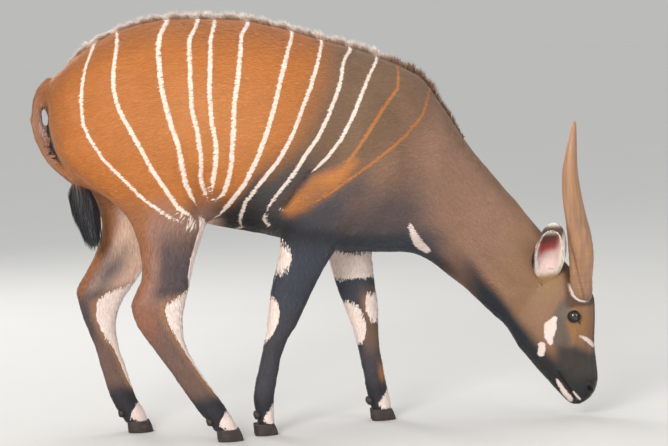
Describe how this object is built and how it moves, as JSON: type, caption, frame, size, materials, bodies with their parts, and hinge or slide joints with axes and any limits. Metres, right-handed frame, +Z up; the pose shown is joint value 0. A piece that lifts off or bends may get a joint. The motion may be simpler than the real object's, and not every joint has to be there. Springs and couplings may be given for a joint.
{
  "type": "bongo antelope",
  "caption": "Life-size still model of a bongo antelope bull, standing with its head lowered to the ground, striped coat, lyre horns and tufted tail.",
  "frame": {"origin": "bottom centre of the animal's box, on the floor under its hooves", "axes": "+X the way the body faces, +Y the animal's left side, +Z up"},
  "size_m": [1.7308, 0.51, 1.3243],
  "materials": {
    "coat_body": "short flat chestnut fur with pinkish white stripes",
    "coat_neck": "short flat grey-brown fur",
    "coat_head": "short brown fur with white cheek spots and a dark muzzle",
    "coat_leg": "short slate-black fur with white bands",
    "ear_skin": "thin pink skin with short hair",
    "tail_hair": "short brown hair",
    "tuft_hair": "long glossy black hair",
    "horn": "worn reddish-brown horn with a keel",
    "hoof": "dark grey-black horn",
    "eye": "wet dark brown"
  },
  "bodies": {
    "root": {"torso": "coat_body", "neck": "coat_neck", "head": "coat_head", "eye_right": "eye", "eye_left": "eye", "ear_right": "ear_skin", "ear_left": "ear_skin", "horn_right": "horn", "horn_left": "horn", "tail": "tail_hair", "tail_tuft": "tuft_hair", "hind_leg_right": "coat_leg", "hind_shank_right": "coat_leg", "hoof_hind_right_inner": "hoof", "hoof_hind_right_outer": "hoof", "dewclaw_hind_right_inner": "hoof", "dewclaw_hind_right_outer": "hoof", "hind_leg_left": "coat_leg", "hind_shank_left": "coat_leg", "hoof_hind_left_inner": "hoof", "hoof_hind_left_outer": "hoof", "dewclaw_hind_left_inner": "hoof", "dewclaw_hind_left_outer": "hoof", "fore_leg_right": "coat_leg", "fore_shank_right": "coat_leg", "hoof_fore_right_inner": "hoof", "hoof_fore_right_outer": "hoof", "dewclaw_fore_right_inner": "hoof", "dewclaw_fore_right_outer": "hoof", "fore_leg_left": "coat_leg", "fore_shank_left": "coat_leg", "hoof_fore_left_inner": "hoof", "hoof_fore_left_outer": "hoof", "dewclaw_fore_left_inner": "hoof", "dewclaw_fore_left_outer": "hoof"}
  },
  "joints": []
}
